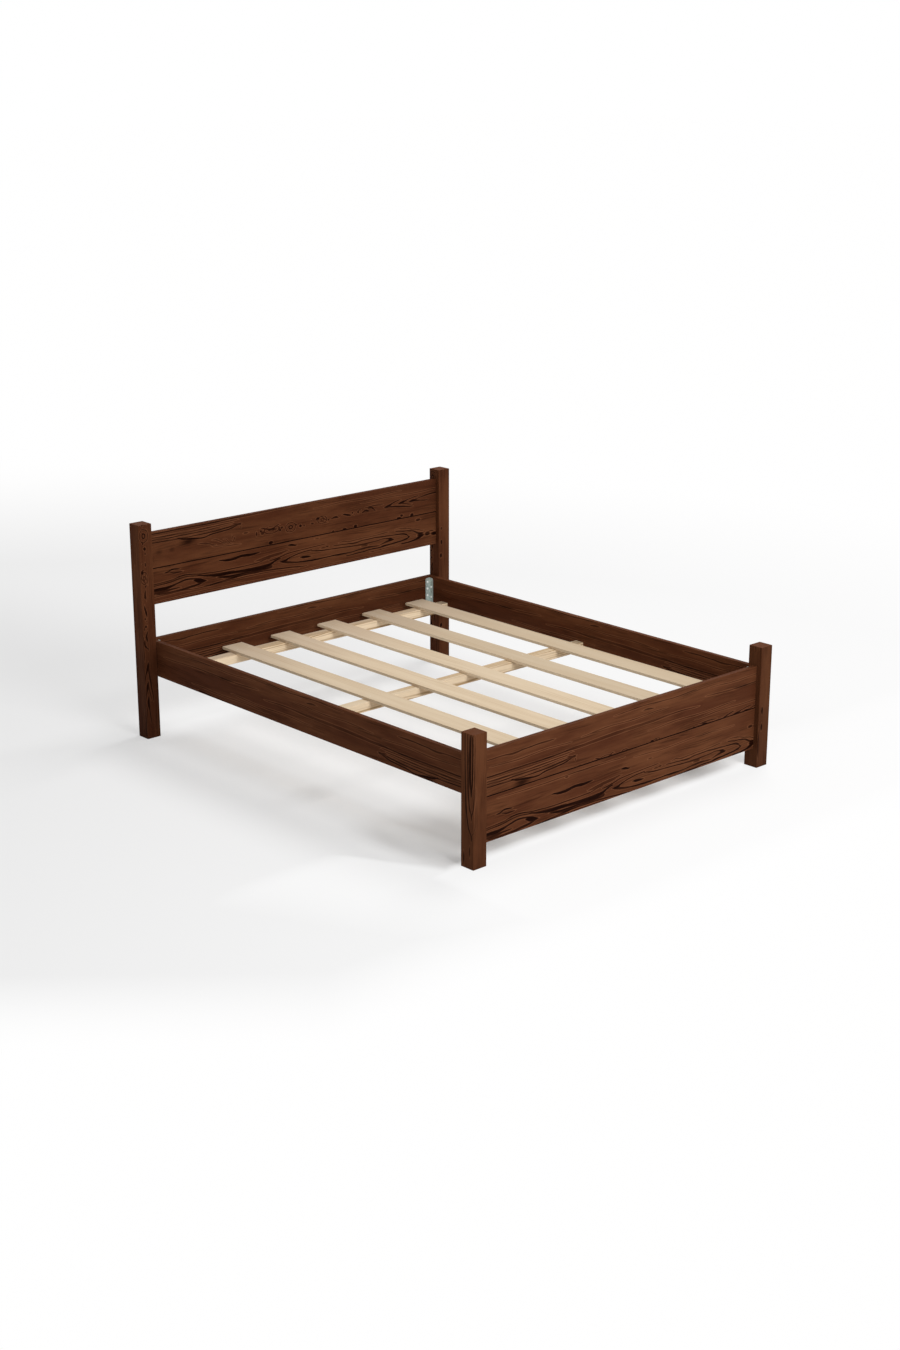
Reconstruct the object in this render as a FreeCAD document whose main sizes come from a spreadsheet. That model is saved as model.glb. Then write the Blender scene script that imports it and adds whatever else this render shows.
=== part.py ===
import FreeCAD, Part
import os
import Sketcher
from FreeCAD import Rotation, Vector

# A double bed frame of dark stained pine around a base of plain pine slats.
#
# Frame: millimetres, +Z up, +Y towards the head, +X to the right of someone
# who stands at the foot and looks at the head. The origin is on the floor,
# under the middle of the bed.
#
# Two square posts and two planks make each end. The foot end is narrower: its
# posts stand in line with the side rails, which run on between the head posts
# and stop at the head rail. Steel angle brackets hold the rails at all four
# corners. Three bars cross the frame and carry the long slats.

# Driving sizes: name, value in millimetres, a share or a count, what it is
SIZES = [
    ("MattressWidth", 1600, "clear width between the side rails"),
    ("MattressLength", 2000, "length of a side rail"),
    ("BoardThickness", 22, "thickness of the planks and rails"),
    ("PostSection", 67, "side of the square posts"),
    ("EdgeRadius", 2, "rounding of the stained edges"),
    ("RailBottom", 272, "floor to the rails' lower edge"),
    ("RailHeight", 157, "height of the side rails and the head rail"),
    ("HeadboardGap", 159, "head rail to the headboard"),
    ("HeadPlankHeight", 159, "height of each headboard plank"),
    ("HeadPostRise", 45, "headboard to the top of its posts"),
    ("FootboardBottom", 80, "floor to the footboard"),
    ("FootPlankHeight", 180, "height of each footboard plank"),
    ("FootPostRise", 83, "footboard to the top of its posts"),
    ("TenonLength", 30, "length of the tenons in the posts"),
    ("TenonShare", 0.5, "tenon thickness as a share of the board's"),
    ("TenonShoulder", 20, "long edge of a board to its tenon"),
    ("TenonClearance", 0.1, "gap round a tenon"),
    ("MortiseEndGap", 1, "end of a tenon to the bottom of its mortise"),
    ("BarCount", 3, "number of bars under the slats"),
    ("BarWidth", 45, "bar size along the bed"),
    ("BarHeight", 41, "bar size upwards"),
    ("BarRise", 5, "rails' lower edge to the bars' lower side"),
    ("BarSetback", 60, "end of a slat to the outer bars"),
    ("SlatCount", 6, "number of slats"),
    ("SlatWidth", 108, "width of a slat"),
    ("SlatThickness", 12, "thickness of a slat"),
    ("SlatSideGap", 68.5, "side rail to the nearest slat"),
    ("SlatHeadGap", 24.5, "head rail to the slats"),
    ("SlatFootGap", 23, "footboard to the slats"),
    ("ArrisChamfer", 1, "chamfer on the plain pine edges"),
    ("BracketLeg", 26, "width of each leaf of an angle bracket"),
    ("BracketSheet", 2, "sheet thickness of the brackets"),
    ("BracketBend", 1.5, "inner radius of the bend"),
    ("BracketCorner", 8, "rounding of the corner brackets' leaf ends"),
    ("BracketHole", 5, "hole in a bracket"),
    ("BracketHoleEnd", 20.5, "end of a corner bracket to its first holes"),
    ("BracketMargin", 8.5, "long edge of a rail to its corner brackets"),
    ("EndLeafHoles", 4, "holes in the leaf across the bed"),
    ("SideLeafHoles", 5, "holes in the leaf on a side rail"),
    ("BarBracketRise", 1, "lower side of a bar to its brackets"),
    ("BarBracketDrop", 10, "upper side of a bar to its brackets"),
]

# Places that follow from the driving sizes, from the middle of the bed
HALF_LENGTH = "((Sizes.MattressLength + Sizes.BoardThickness + Sizes.PostSection) / 2)"
RAIL_INNER_X = "(Sizes.MattressWidth / 2)"
RAIL_X = f"({RAIL_INNER_X} + Sizes.BoardThickness / 2)"
HEAD_POST_X = f"({RAIL_INNER_X} + Sizes.BoardThickness + Sizes.PostSection / 2)"
HEAD_POST_Y = f"({HALF_LENGTH} - Sizes.PostSection / 2)"
HEAD_RAIL_Y = f"({HALF_LENGTH} - Sizes.BoardThickness / 2)"
HEAD_RAIL_FRONT = f"({HALF_LENGTH} - Sizes.BoardThickness)"
HEAD_SPAN = "(Sizes.MattressWidth + 2 * Sizes.BoardThickness)"
FOOT_POST_BACK = f"({HEAD_RAIL_FRONT} - Sizes.MattressLength)"
FOOT_POST_Y = f"({FOOT_POST_BACK} - Sizes.PostSection / 2)"
FOOT_SPAN = f"(2 * {RAIL_X} - Sizes.PostSection)"
RAIL_Y = f"({HEAD_RAIL_FRONT} - Sizes.MattressLength / 2)"
RAIL_Z = "(Sizes.RailBottom + Sizes.RailHeight / 2)"
HEADBOARD_BOTTOM = "(Sizes.RailBottom + Sizes.RailHeight + Sizes.HeadboardGap)"
HEAD_POST_HEIGHT = f"({HEADBOARD_BOTTOM} + 2 * Sizes.HeadPlankHeight + Sizes.HeadPostRise)"
FOOT_POST_HEIGHT = "(Sizes.FootboardBottom + 2 * Sizes.FootPlankHeight + Sizes.FootPostRise)"
BAR_BOTTOM = "(Sizes.RailBottom + Sizes.BarRise)"
SLAT_HEAD_END = f"({HEAD_RAIL_FRONT} - Sizes.SlatHeadGap)"
SLAT_FOOT_END = f"({FOOT_POST_Y} + Sizes.BoardThickness / 2 + Sizes.SlatFootGap)"
SLAT_LENGTH = f"({SLAT_HEAD_END} - {SLAT_FOOT_END})"
SLAT_Y = f"(({SLAT_HEAD_END} + {SLAT_FOOT_END}) / 2)"
SLAT_Z = f"({BAR_BOTTOM} + Sizes.BarHeight + Sizes.SlatThickness / 2)"
SLAT_REACH = "(Sizes.MattressWidth - 2 * Sizes.SlatSideGap - Sizes.SlatWidth)"
BAR_REACH = f"({SLAT_LENGTH} - 2 * Sizes.BarSetback - Sizes.BarWidth)"
BRACKET_LENGTH = "(Sizes.RailHeight - 2 * Sizes.BracketMargin)"
BAR_BRACKET_LENGTH = "(Sizes.BarHeight - Sizes.BarBracketRise - Sizes.BarBracketDrop)"
BAR_BRACKET_Z = f"({BAR_BOTTOM} + Sizes.BarBracketRise + {BAR_BRACKET_LENGTH} / 2)"
HOLE_INSET = "((Sizes.BracketLeg + Sizes.BracketSheet) / 2)"
TENON_THICKNESS = "(Sizes.BoardThickness * Sizes.TenonShare)"

# Sides of the bed, as seen from the foot, and its ends
SIDES = (("left", -1), ("right", 1))
ENDS = (("head", 1), ("foot", -1))

# Plane of a board's section and direction of its edges, by the way it runs
SECTION_PLANES = {"X": "YZ_Plane", "Y": "XZ_Plane", "Z": "XY_Plane"}
AXES = {"X": Vector(1, 0, 0), "Y": Vector(0, 1, 0), "Z": Vector(0, 0, 1)}

doc = FreeCAD.newDocument("PineBed")
sheet = doc.addObject("Spreadsheet::Sheet", "Sizes")
for row, (alias, value, note) in enumerate(SIZES, start=1):
    sheet.set(f"A{row}", alias)
    sheet.set(f"B{row}", str(value))
    sheet.set(f"C{row}", note)
    sheet.setAlias(f"B{row}", alias)
doc.recompute()

pieces = []


def number(expression):
    """Value of an expression on the sheet."""
    return float(sheet.evalExpression(expression.replace("Sizes.", "")))


def spread(reach, count):
    """Evenly spread places over a reach that is centred on zero."""
    total = int(number(count))
    return [f"(({index} / ({count} - 1) - 1 / 2) * {reach})" for index in range(total)]


def place(piece, x, y, z):
    for axis, expression in (("x", x), ("y", y), ("z", z)):
        piece.setExpression(f"Placement.Base.{axis}", expression)


def new_body(label):
    body = doc.addObject("PartDesign::Body", label)
    body.Label = label
    pieces.append(body)
    return body


def origin_plane(body, role):
    return next(plane for plane in body.Origin.OriginFeatures if plane.Role == role)


def new_sketch(body, name, role, offset="0"):
    """Sketch on an origin plane, or at an offset along its normal."""
    sketch = body.newObject("Sketcher::SketchObject", f"{body.Label}_{name}")
    sketch.AttachmentSupport = [(origin_plane(body, role), "")]
    sketch.MapMode = "FlatFace"
    sketch.setExpression("AttachmentOffset.Base.z", offset)
    doc.recompute()
    return sketch


def bind(sketch, constraint, expression):
    index = sketch.addConstraint(constraint)
    sketch.setExpression(f"Constraints[{index}]", expression)


def closed_outline(sketch, corners):
    """Closed outline of level and upright lines; returns its first line."""
    first = sketch.GeometryCount
    count = len(corners)
    followers = [(index + 1) % count for index in range(count)]
    for index, follower in enumerate(followers):
        line = Part.LineSegment(Vector(*corners[index]), Vector(*corners[follower]))
        sketch.addGeometry(line, False)
    for index, follower in enumerate(followers):
        ends = (first + index, 2, first + follower, 1)
        level = corners[index][1] == corners[follower][1]
        sketch.addConstraint(Sketcher.Constraint("Coincident", *ends))
        sketch.addConstraint(Sketcher.Constraint("Horizontal" if level else "Vertical", first + index))
    return first


def add_rectangle(sketch, x, y, wide, tall):
    """Rectangle about a centre."""
    left = f"{x} - {wide} / 2"
    low = f"{y} - {tall} / 2"
    x_min, y_min = number(left), number(low)
    x_max, y_max = x_min + number(wide), y_min + number(tall)
    first = closed_outline(sketch, [(x_min, y_min), (x_max, y_min), (x_max, y_max), (x_min, y_max)])
    bind(sketch, Sketcher.Constraint("DistanceX", -1, 1, first, 1, x_min), left)
    bind(sketch, Sketcher.Constraint("DistanceY", -1, 1, first, 1, y_min), low)
    bind(sketch, Sketcher.Constraint("DistanceX", first, 1, first, 2, x_max - x_min), wide)
    bind(sketch, Sketcher.Constraint("DistanceY", first + 1, 1, first + 1, 2, y_max - y_min), tall)


def add_circle(sketch, x, y, diameter):
    centre = Vector(number(x), number(y), 0)
    width = number(diameter)
    circle = sketch.addGeometry(Part.Circle(centre, AXES["Z"], width / 2), False)
    bind(sketch, Sketcher.Constraint("DistanceX", -1, 1, circle, 3, centre.x), x)
    bind(sketch, Sketcher.Constraint("DistanceY", -1, 1, circle, 3, centre.y), y)
    bind(sketch, Sketcher.Constraint("Diameter", circle, width), diameter)


def pad(body, sketch, length, symmetric=True):
    feature = body.newObject("PartDesign::Pad", f"{sketch.Label}_pad")
    feature.Profile = sketch
    feature.SideType = "Symmetric" if symmetric else "One side"
    feature.setExpression("Length", length)
    doc.recompute()
    return feature


def cut(body, sketch, depth, flip):
    """Pocket down from the sketch, or up from it when flipped."""
    before = body.Shape.Volume
    pocket = body.newObject("PartDesign::Pocket", f"{sketch.Label}_cut")
    pocket.Profile = sketch
    pocket.Reversed = flip
    pocket.setExpression("Length", depth)
    doc.recompute()
    if pocket.Shape.Volume >= before:
        raise RuntimeError(f"{pocket.Label} cuts nothing")


def dress(body, kind, size, wanted):
    """Fillet or chamfer on the edges for which wanted says yes."""
    base = body.Tip
    names = [f"Edge{index}" for index, edge in enumerate(base.Shape.Edges, start=1) if wanted(edge)]
    feature = body.newObject(f"PartDesign::{kind}", f"{body.Label}_{kind.lower()}")
    feature.Base = (base, names)
    feature.setExpression("Radius" if kind == "Fillet" else "Size", size)
    doc.recompute()


def runs_along(edge, axis):
    """Whether a straight edge is parallel to an axis."""
    return len(edge.Vertexes) == 2 and abs(edge.tangentAt(edge.FirstParameter).dot(axis)) > 1 - 1e-6


def board(label, along, wide, tall, length, edges, size):
    """A board about the origin, with its long edges rounded or chamfered."""
    body = new_body(label)
    sketch = new_sketch(body, "section", SECTION_PLANES[along])
    add_rectangle(sketch, "0", "0", wide, tall)
    pad(body, sketch, length)
    dress(body, edges, size, lambda edge: runs_along(edge, AXES[along]))
    return body


def tenon_height(height):
    return f"({height} - 2 * Sizes.TenonShoulder)"


def cross_board(label, height, span, y, z):
    """A board across the bed between two posts, tenoned into both."""
    body = board(label, "X", "Sizes.BoardThickness", height, span, "Fillet", "Sizes.EdgeRadius")
    sketch = new_sketch(body, "tenons", "YZ_Plane")
    add_rectangle(sketch, "0", "0", TENON_THICKNESS, tenon_height(height))
    pad(body, sketch, f"{span} + 2 * Sizes.TenonLength")
    place(body, "0", y, z)


def post(label, side, height, x, y, boards):
    """A square post on the floor, mortised on its inner side.

    Each of its boards is given by its place in the post's thickness, the
    height of its middle and its own height.
    """
    body = new_body(label)
    section = new_sketch(body, "section", "XY_Plane")
    add_rectangle(section, "0", "0", "Sizes.PostSection", "Sizes.PostSection")
    pad(body, section, height, symmetric=False)
    top = body.Shape.BoundBox.ZMax
    dress(body, "Fillet", "Sizes.EdgeRadius", lambda edge: runs_along(edge, AXES["Z"]))
    dress(body, "Chamfer", "Sizes.ArrisChamfer", lambda edge: edge.BoundBox.ZMin > top / 2)
    mortises = new_sketch(body, "mortises", "YZ_Plane", f"{-side} * Sizes.PostSection / 2")
    for offset, middle, board_height in boards:
        add_rectangle(
            mortises, offset, middle,
            f"({TENON_THICKNESS} + 2 * Sizes.TenonClearance)",
            f"({tenon_height(board_height)} + 2 * Sizes.TenonClearance)",
        )
    cut(body, mortises, "Sizes.TenonLength + Sizes.MortiseEndGap", flip=side > 0)
    place(body, f"{side} * {x}", y, "0")


def plank_pair(bottom, height):
    """Name and height of the middle of a lower and an upper plank."""
    return [("lower", f"({bottom} + {height} / 2)"), ("upper", f"({bottom} + 3 * {height} / 2)")]


# Headboard: two posts, two planks between them, and the rail at their back
head_planks = plank_pair(HEADBOARD_BOTTOM, "Sizes.HeadPlankHeight")
head_boards = [("0", middle, "Sizes.HeadPlankHeight") for _, middle in head_planks]
head_boards.append(("(Sizes.PostSection - Sizes.BoardThickness) / 2", RAIL_Z, "Sizes.RailHeight"))
for name, side in SIDES:
    post(f"head_post_{name}", side, HEAD_POST_HEIGHT, HEAD_POST_X, HEAD_POST_Y, head_boards)
for name, middle in head_planks:
    cross_board(f"headboard_{name}_plank", "Sizes.HeadPlankHeight", HEAD_SPAN, HEAD_POST_Y, middle)
cross_board("head_rail", "Sizes.RailHeight", HEAD_SPAN, HEAD_RAIL_Y, RAIL_Z)

# Footboard: two short posts in line with the side rails, and two planks
foot_planks = plank_pair("Sizes.FootboardBottom", "Sizes.FootPlankHeight")
foot_boards = [("0", middle, "Sizes.FootPlankHeight") for _, middle in foot_planks]
for name, side in SIDES:
    post(f"foot_post_{name}", side, FOOT_POST_HEIGHT, RAIL_X, FOOT_POST_Y, foot_boards)
for name, middle in foot_planks:
    cross_board(f"footboard_{name}_plank", "Sizes.FootPlankHeight", FOOT_SPAN, FOOT_POST_Y, middle)

# Side rails, from the foot posts to the head rail
for name, side in SIDES:
    rail = board(
        f"side_rail_{name}", "Y", "Sizes.BoardThickness", "Sizes.RailHeight",
        "Sizes.MattressLength", "Fillet", "Sizes.EdgeRadius",
    )
    place(rail, f"{side} * {RAIL_X}", RAIL_Y, RAIL_Z)

# Bars across the bed between the side rails, numbered from the foot
bar_places = [f"({SLAT_Y} + {step})" for step in spread(BAR_REACH, "Sizes.BarCount")]
for index, bar_y in enumerate(bar_places, start=1):
    bar = board(
        f"cross_bar_{index}", "X", "Sizes.BarWidth", "Sizes.BarHeight",
        "Sizes.MattressWidth", "Chamfer", "Sizes.ArrisChamfer",
    )
    place(bar, "0", bar_y, f"{BAR_BOTTOM} + Sizes.BarHeight / 2")

# Slats along the bed on top of the bars, numbered from the left
for index, slat_x in enumerate(spread(SLAT_REACH, "Sizes.SlatCount"), start=1):
    slat = board(
        f"slat_{index}", "Y", "Sizes.SlatWidth", "Sizes.SlatThickness",
        SLAT_LENGTH, "Chamfer", "Sizes.ArrisChamfer",
    )
    place(slat, slat_x, SLAT_Y, SLAT_Z)


def angle_section(body):
    """Section of an angle bracket, its heel at the origin."""
    leg = number("Sizes.BracketLeg")
    thick = number("Sizes.BracketSheet")
    sketch = new_sketch(body, "section", "XY_Plane")
    closed_outline(sketch, [(0, 0), (-leg, 0), (-leg, -thick), (-thick, -thick), (-thick, -leg), (0, -leg)])
    sketch.addConstraint(Sketcher.Constraint("Coincident", 0, 1, -1, 1))
    bind(sketch, Sketcher.Constraint("DistanceX", 0, 2, 0, 1, leg), "Sizes.BracketLeg")
    bind(sketch, Sketcher.Constraint("DistanceY", 5, 1, 5, 2, leg), "Sizes.BracketLeg")
    bind(sketch, Sketcher.Constraint("DistanceY", 1, 2, 1, 1, thick), "Sizes.BracketSheet")
    bind(sketch, Sketcher.Constraint("DistanceX", 4, 1, 4, 2, thick), "Sizes.BracketSheet")
    return sketch


def bracket(label, side, end, length, end_rows, side_rows, rounded):
    """An angle bracket, upright in an inner corner, with its heel at the origin.

    It is made for the head right corner, with one leaf across the bed and one
    along it, and turned over for the other corners. Its leaf ends are rounded
    or left square.
    """
    leg = number("Sizes.BracketLeg")
    thick = number("Sizes.BracketSheet")
    body = new_body(label)
    pad(body, angle_section(body), length)

    def bend_at(distance):
        corner = Vector(-distance, -distance, 0)

        def wanted(edge):
            middle = edge.CenterOfMass
            middle.z = 0
            return runs_along(edge, AXES["Z"]) and middle.distanceToPoint(corner) < thick / 2
        return wanted

    def at_leaf_end(edge):
        middle = edge.CenterOfMass
        return not runs_along(edge, AXES["Z"]) and min(middle.x, middle.y) < -leg * (1 - 1e-6)

    dress(body, "Fillet", "Sizes.BracketBend + Sizes.BracketSheet", bend_at(0))
    dress(body, "Fillet", "Sizes.BracketBend", bend_at(thick))
    if rounded:
        dress(body, "Fillet", "Sizes.BracketCorner", at_leaf_end)
    for name, plane, rows, flip in (
        ("end_holes", "XZ_Plane", end_rows, True), ("side_holes", "YZ_Plane", side_rows, False),
    ):
        holes = new_sketch(body, name, plane)
        for row_z in rows:
            add_circle(holes, f"-{HOLE_INSET}", row_z, "Sizes.BracketHole")
        cut(body, holes, "2 * Sizes.BracketSheet", flip)
    turns = {(1, 1): ("Z", 0), (-1, 1): ("Y", 180), (1, -1): ("X", 180), (-1, -1): ("Z", 180)}
    axis, angle = turns[side, end]
    body.Placement.Rotation = Rotation(AXES[axis], angle)
    return body


# Corner brackets, with one leaf on the head rail or on a foot post
hole_reach = f"({BRACKET_LENGTH} - 2 * Sizes.BracketHoleEnd)"
end_rows = spread(hole_reach, "Sizes.EndLeafHoles")
side_rows = spread(hole_reach, "Sizes.SideLeafHoles")
heels = {"head": HEAD_RAIL_FRONT, "foot": FOOT_POST_BACK}
for end_name, end in ENDS:
    for name, side in SIDES:
        corner_bracket = bracket(
            f"corner_bracket_{end_name}_{name}", side, end, BRACKET_LENGTH,
            end_rows, side_rows, rounded=True,
        )
        place(corner_bracket, f"{side} * {RAIL_INNER_X}", heels[end_name], RAIL_Z)

# Bar brackets, one behind each end of each bar
for index, bar_y in enumerate(bar_places, start=1):
    for name, side in SIDES:
        bar_bracket = bracket(
            f"bar_bracket_{index}_{name}", side, -1, BAR_BRACKET_LENGTH,
            ["0"], ["0"], rounded=False,
        )
        place(
            bar_bracket, f"{side} * {RAIL_INNER_X}", f"{bar_y} + Sizes.BarWidth / 2", BAR_BRACKET_Z
        )

# Check everything, then write one file for each piece
doc.recompute()
for item in doc.Objects:
    if "Invalid" in item.State or "Error" in item.State:
        raise RuntimeError(f"{item.Label}: {item.State}")
for piece in pieces:
    if piece.Shape.isNull() or not piece.Shape.isValid():
        raise RuntimeError(f"{piece.Label}: no valid shape")
os.makedirs("parts", exist_ok=True)
for piece in pieces:
    piece.Shape.exportStep(f"parts/{piece.Label}.step")
print(f"{len(pieces)} pieces written")
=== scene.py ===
import math
from itertools import chain

import bmesh
import bpy
from mathutils import Matrix, Vector


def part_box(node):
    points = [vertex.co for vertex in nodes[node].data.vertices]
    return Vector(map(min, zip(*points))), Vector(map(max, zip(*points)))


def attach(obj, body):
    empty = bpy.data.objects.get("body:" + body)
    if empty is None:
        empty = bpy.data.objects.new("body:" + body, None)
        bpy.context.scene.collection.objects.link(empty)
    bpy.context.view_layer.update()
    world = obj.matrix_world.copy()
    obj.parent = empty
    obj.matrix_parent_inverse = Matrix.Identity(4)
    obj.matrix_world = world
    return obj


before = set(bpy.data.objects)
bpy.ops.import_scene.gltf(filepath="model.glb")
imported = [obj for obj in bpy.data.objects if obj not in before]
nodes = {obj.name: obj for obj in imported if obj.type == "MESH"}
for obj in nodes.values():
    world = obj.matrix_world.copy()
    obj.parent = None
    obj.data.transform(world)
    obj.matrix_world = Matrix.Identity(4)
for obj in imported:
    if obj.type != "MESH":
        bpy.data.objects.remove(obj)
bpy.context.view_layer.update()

# A double bed frame of dark stained pine with a base of plain pine slats, in a
# white studio. Metres, in the frame of the CAD model: +Z up, +Y to the head.

MM = 1000

# The camera stands left of the foot end and looks down at the bed. The sensor
# is in millimetres, and the focal length in pixels of the photograph.
CAMERA_PLACE = Vector((-5.50795, -6.00557, 2.88892))
CAMERA_TURN = math.radians(42.5138)
CAMERA_TILT = math.radians(17.4293)
CAMERA_REACH = 200
FOCAL_PIXELS = 2010.77
IMAGE_LONG_SIDE = 1350
SENSOR = 36

# Lamps: name, place, diameter, and how bright each makes a white surface that
# faces it. All shine at one point, and an even light comes from all round.
LAMP_TARGET = Vector((0, 0, 0.3))
LAMPS = (
    ("lamp_right", (4.0, 0.7, 6.8), 3.6, 0.50),
    ("lamp_front", (-0.6, -7.0, 4.6), 4.2, 0.51),
    ("lamp_left", (-6.0, -1.5, 4.0), 3.0, 0.07),
)
WORLD_LEVEL = 0.3

# Sockets of the Mix node that are for colours
MIX_FIRST, MIX_SECOND, MIX_RESULT = 6, 7, 2


class Value:
    """A number inside a node tree, so that sums are written as sums."""

    def __init__(self, graph, socket):
        self.graph = graph
        self.socket = socket

    def __add__(self, other):
        return self.graph.math("ADD", self, other)

    def __sub__(self, other):
        return self.graph.math("SUBTRACT", self, other)

    def __mul__(self, other):
        return self.graph.math("MULTIPLY", self, other)

    def __truediv__(self, other):
        return self.graph.math("DIVIDE", self, other)

    def __abs__(self):
        return self.graph.math("ABSOLUTE", self)


class Graph:
    """Adds nodes to a tree and links them."""

    def __init__(self, tree):
        self.tree = tree

    def node(self, kind, inputs=(), **settings):
        made = self.tree.nodes.new(kind)
        for name, setting in settings.items():
            setattr(made, name, setting)
        for name, given in dict(inputs).items():
            self.feed(made.inputs[name], given)
        return made

    def feed(self, socket, given):
        if isinstance(given, Value):
            given = given.socket
        if isinstance(given, bpy.types.NodeSocket):
            self.tree.links.new(given, socket)
        else:
            socket.default_value = given

    def value(self, kind, inputs=(), output=0, **settings):
        return Value(self, self.node(kind, inputs, **settings).outputs[output])

    def math(self, operation, first, second=0.0):
        return self.value("ShaderNodeMath", {0: first, 1: second}, operation=operation)

    def smooth(self, value, low, high, start=0.0, end=1.0):
        """Smooth step from start at low to end at high."""
        inputs = {"Value": value, "From Min": low, "From Max": high, "To Min": start, "To Max": end}
        return self.value("ShaderNodeMapRange", inputs, interpolation_type="SMOOTHSTEP")

    def curve(self, value, points):
        """Curve through given points, both ways from 0 to 1. A point has a place, a height and
        whether the curve has a corner there."""
        made = self.node("ShaderNodeFloatCurve", {"Value": value})
        made.mapping.extend = "HORIZONTAL"
        line = made.mapping.curves[0]
        line.points[0].location = points[0][:2]
        line.points[1].location = points[-1][:2]
        for x, y, _ in points[1:-1]:
            line.points.new(x, y)
        for point, (_, _, corner) in zip(line.points, points):
            point.handle_type = "VECTOR" if corner else "AUTO_CLAMPED"
        made.mapping.update()
        return Value(self, made.outputs[0])

    def noise(self, vector, scale=1.0, detail=2.0, roughness=0.5):
        inputs = {"Vector": vector, "Scale": scale, "Detail": detail, "Roughness": roughness}
        return self.value("ShaderNodeTexNoise", inputs)

    def vector(self, x, y, z=0.0):
        return self.value("ShaderNodeCombineXYZ", {0: x, 1: y, 2: z})

    def parts(self, vector):
        """The three parts of a vector."""
        made = self.node("ShaderNodeSeparateXYZ", {0: vector})
        return [Value(self, output) for output in made.outputs]

    def mix(self, factor, first, second):
        inputs = {"Factor": factor, MIX_FIRST: first, MIX_SECOND: second}
        return self.value("ShaderNodeMix", inputs, MIX_RESULT, data_type="RGBA")

    def lines(self, count, begin, full, strength=1.0):
        """Soft lines halfway between the whole numbers of a count. Begin and
        full are distances from a line's middle."""
        return self.smooth(abs(self.math("FRACT", count) - 0.5), begin, full, 0, strength)


# Grain of the stained pine. All stained boards show parts of one pattern, laid
# out in millimetres: along the grain, and across it. The lower planks have
# their own part, which starts at LOWER_PART.
PATTERN_LENGTH = 2000
PATTERN_DEPTH = 600
LOWER_PART = 300

# Values of the pattern: up to RIM_END they are the pale rim of a dark streak,
# palest at RIM_PEAK, and from there to 1 the streak itself
RIM_PEAK = 0.13
RIM_END = 0.26

# How far outside and inside its half thickness the edge of a streak reaches,
# how far beyond its ends it runs out, and the least space to the next streak
# of its row
EDGE_OUT = 4.2
EDGE_IN = 1.6
RUN_OUT = 12
ROW_SPACE = 3 * RUN_OUT

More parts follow.
